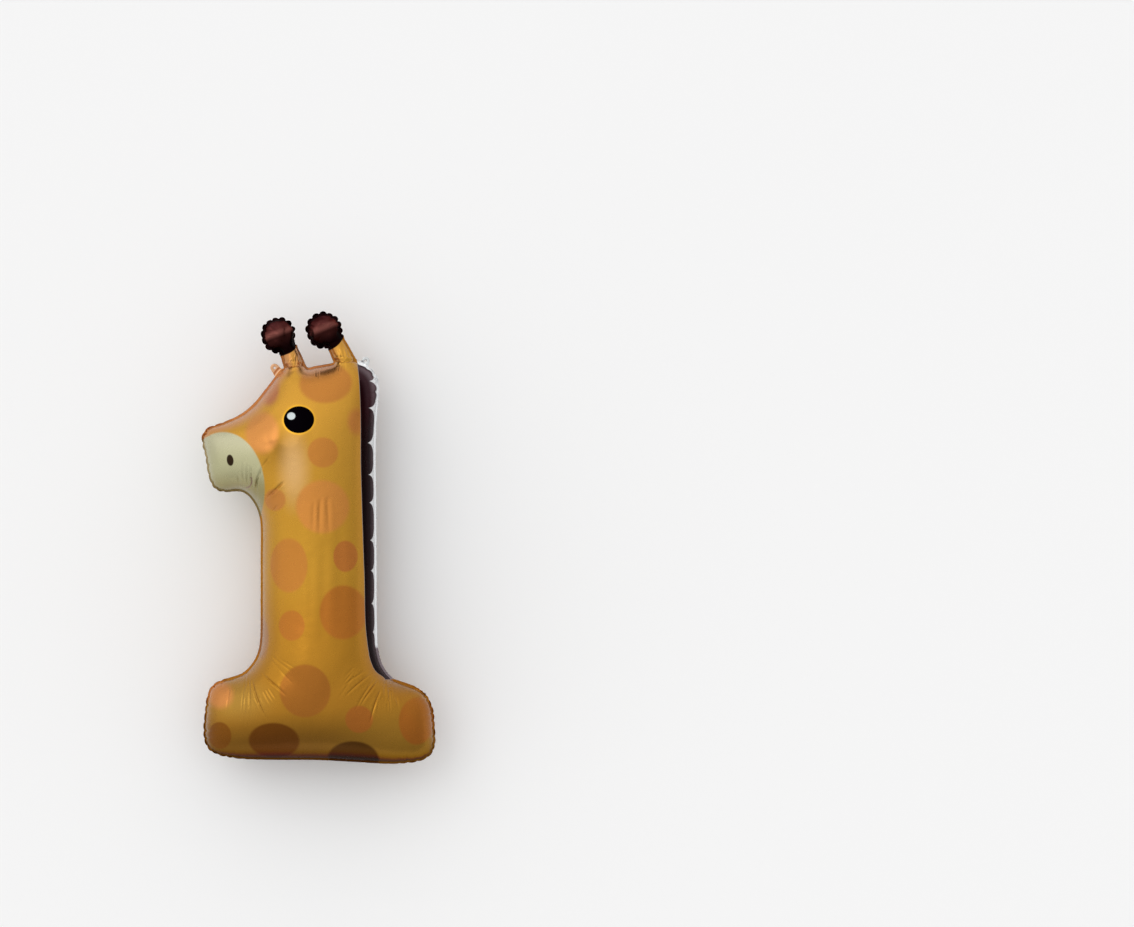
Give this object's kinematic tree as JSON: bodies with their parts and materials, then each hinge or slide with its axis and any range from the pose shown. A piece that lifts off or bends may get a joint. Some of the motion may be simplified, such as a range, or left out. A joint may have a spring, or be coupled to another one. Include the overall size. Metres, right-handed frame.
{
  "type": "giraffe foil balloon",
  "caption": "Inflated foil balloon shaped as a giraffe that is also a figure one, with a flat welded seam, knobbed horns and punched ribbon tabs.",
  "frame": {"origin": "centre of the footprint, at the flat spots of the back that it lies on", "axes": "+Y up the figure from the foot to the horns, -X towards the muzzle, +Z out of the printed front"},
  "size_m": [0.4168, 0.8, 0.2111],
  "materials": {
    "printed_foil": "printed metallised film, satin gloss"
  },
  "bodies": {
    "root": {"foil_balloon": "printed_foil"}
  },
  "joints": []
}
